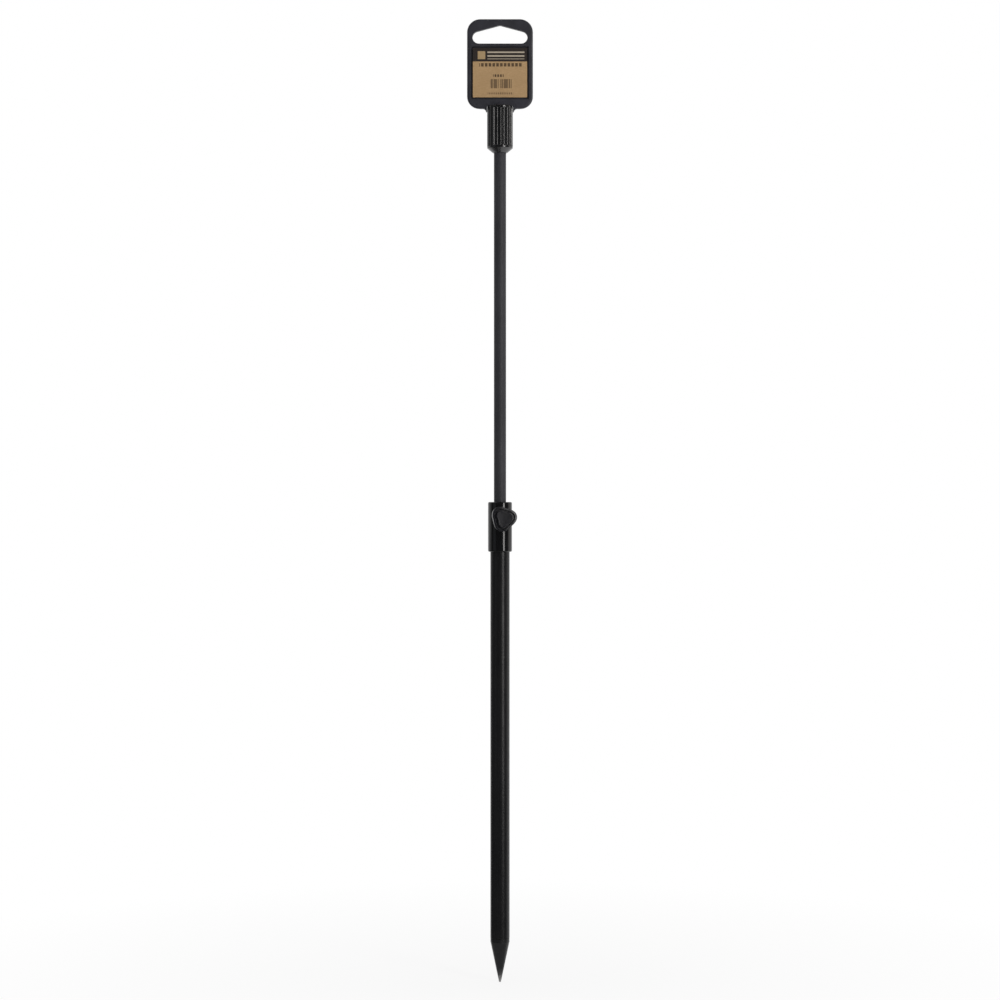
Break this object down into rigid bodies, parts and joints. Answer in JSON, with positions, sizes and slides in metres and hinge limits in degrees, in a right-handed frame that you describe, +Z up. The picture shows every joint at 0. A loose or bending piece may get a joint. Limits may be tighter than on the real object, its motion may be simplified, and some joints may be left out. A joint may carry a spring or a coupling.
{
  "type": "bank stick",
  "caption": "Two-section telescopic bank stick with a ground spike, a collar with a lobed thumbscrew, a fluted threaded head and a moulded hanging tag plugged into the head.",
  "frame": {"origin": "the tip of the ground spike, on the axis of the stick", "axes": "+Z up the stick from the spike to the tag; the thumbscrew and the label face -Y; +X to the right as seen from the front"},
  "size_m": [0.0434, 0.0274, 0.6353],
  "materials": {
    "tube_satin_black": "satin black anodised",
    "rod_satin_grey": "satin black-grey anodised, drawn lengthwise",
    "head_gloss_black": "bright black anodised",
    "collar_gloss_black": "gloss black moulded",
    "knob_gloss_black": "gloss black moulded",
    "tag_charcoal": "satin charcoal moulded",
    "card_kraft": "kraft board",
    "acetal_black": "matt black acetal",
    "seal_rubber": "matt",
    "screw_steel": "zinc plated",
    "insert_brass": "turned"
  },
  "bodies": {
    "standing_section": {"outer_tube": "tube_satin_black", "ground_spike": "tube_satin_black", "stop_pad": "seal_rubber", "clamp_collar": "collar_gloss_black", "collar_bush": "acetal_black", "wiper_ring": "seal_rubber", "screw_insert": "insert_brass"},
    "rod_guide": {"guide_bush": "acetal_black"},
    "rod_section": {"inner_rod": "rod_satin_grey", "guide_washer": "screw_steel", "guide_screw": "screw_steel", "stick_head": "head_gloss_black", "head_screw": "screw_steel"},
    "tag": {"hang_tag": "tag_charcoal", "label_card": "card_kraft"},
    "screw_pad": {"pressure_pad": "acetal_black"},
    "thumbscrew": {"thumb_stud": "screw_steel", "thumb_knob": "knob_gloss_black", "knob_inlay": "knob_gloss_black"}
  },
  "joints": [
    {"name": "rod_slide", "type": "slide", "parent": "standing_section", "child": "rod_guide", "axis": [0, 0, 1], "range_m": [-0.2295, 0.003]},
    {"name": "rod_turn", "type": "hinge", "parent": "rod_guide", "child": "rod_section", "pos_m": [0, 0, 0.2889], "axis": [0, 0, 1], "continuous": true},
    {"name": "tag_pull", "type": "slide", "parent": "rod_section", "child": "tag", "axis": [0, 0, 1], "range_m": [0, 0.012]},
    {"name": "screw_travel", "type": "slide", "parent": "standing_section", "child": "screw_pad", "axis": [0.1495, -0.9888, 0], "range_m": [0, 0.0016]},
    {"name": "screw_turn", "type": "hinge", "parent": "screw_pad", "child": "thumbscrew", "pos_m": [0.00129, -0.0085, 0.30593], "axis": [0.1495, -0.9888, 0], "range_deg": [0, 720]}
  ],
  "couplings": [
    {"joint": "screw_turn", "follows": "screw_travel", "rad_per_m": 7854}
  ]
}
